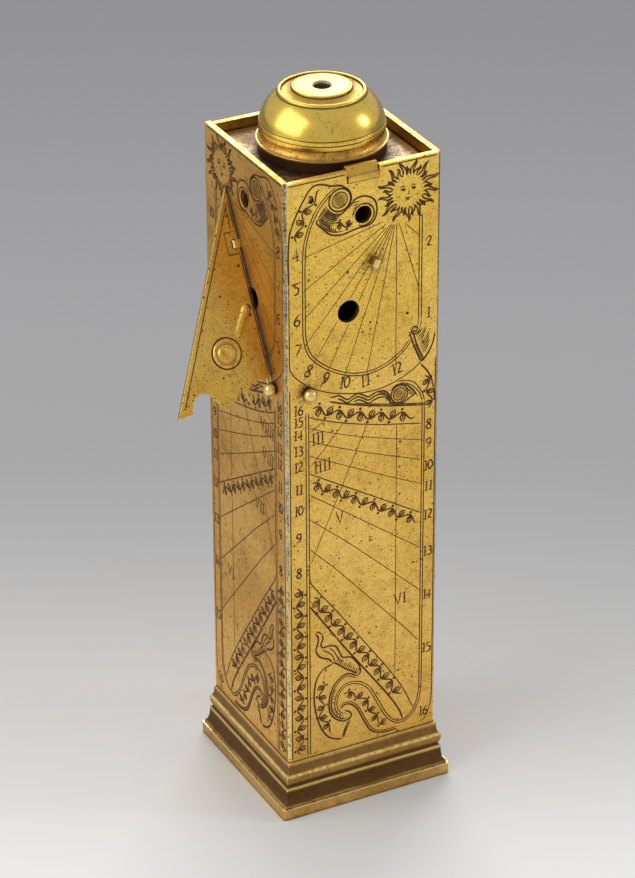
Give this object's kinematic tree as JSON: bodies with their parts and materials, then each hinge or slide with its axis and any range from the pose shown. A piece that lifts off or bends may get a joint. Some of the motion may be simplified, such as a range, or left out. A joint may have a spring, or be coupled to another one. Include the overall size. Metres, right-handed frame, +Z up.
{
  "type": "column sundial",
  "caption": "Small square gilt-brass column with engraved vertical sundials, a folding gnomon, a moulded foot and a hinged lid under a turned dome.",
  "frame": {"origin": "centre of the square base plate's underside, on the column's axis", "axes": "+Z up the column, -Y out of the front dial, -X out of the left dial that carries the gnomon"},
  "size_m": [0.0611, 0.0412, 0.162],
  "materials": {
    "gilt_plate": "fire-gilt brass, engraved, satin, with dark specks and brown patina in the cuts",
    "brown_gilt_plate": "fire-gilt brass worn browner, engraved, satin",
    "solder": "soft solder and tinned brass, dull grey-brown, pitted",
    "moulded_gilt": "gilt brass moulding, bright worn edges, brown patina in the hollows",
    "turned_gilt": "turned and burnished gilt brass, semi-gloss",
    "gnomon_gilt": "gilt brass sheet, satin, dark specks",
    "worn_brass": "filed brass, gilding worn through"
  },
  "bodies": {
    "column": {"front_plate": "gilt_plate", "left_plate": "brown_gilt_plate", "back_plate": "brown_gilt_plate", "right_plate": "brown_gilt_plate", "corner_solder": "solder", "base_plate": "moulded_gilt", "front_moulding": "moulded_gilt", "left_moulding": "moulded_gilt", "back_moulding": "moulded_gilt", "right_moulding": "moulded_gilt", "lid_ledges": "brown_gilt_plate", "fixed_knuckles": "worn_brass", "hinge_pin": "worn_brass", "left_upper_lug": "worn_brass", "left_ball_lug": "worn_brass", "front_upper_lug": "worn_brass", "front_ball_lug": "worn_brass"},
    "lid": {"lid_plate": "solder", "lid_knuckle": "worn_brass", "lid_catch": "turned_gilt", "dome_foot": "turned_gilt", "dome_bowl": "turned_gilt", "stepped_ring": "turned_gilt", "top_disc": "turned_gilt"},
    "gnomon": {"gnomon_plate": "gnomon_gilt", "gnomon_stud": "gnomon_gilt", "upper_pivot": "worn_brass", "lower_pivot": "worn_brass"}
  },
  "joints": [
    {"name": "lid_hinge", "type": "hinge", "parent": "column", "child": "lid", "pos_m": [0, 0.0153, 0.1494], "axis": [-1, 0, 0], "range_deg": [0, 95]},
    {"name": "gnomon_fold", "type": "hinge", "parent": "column", "child": "gnomon", "pos_m": [-0.0191, 0.0024, 0.1293], "axis": [0, -0.4969, -0.8678], "range_deg": [0, 90]}
  ]
}
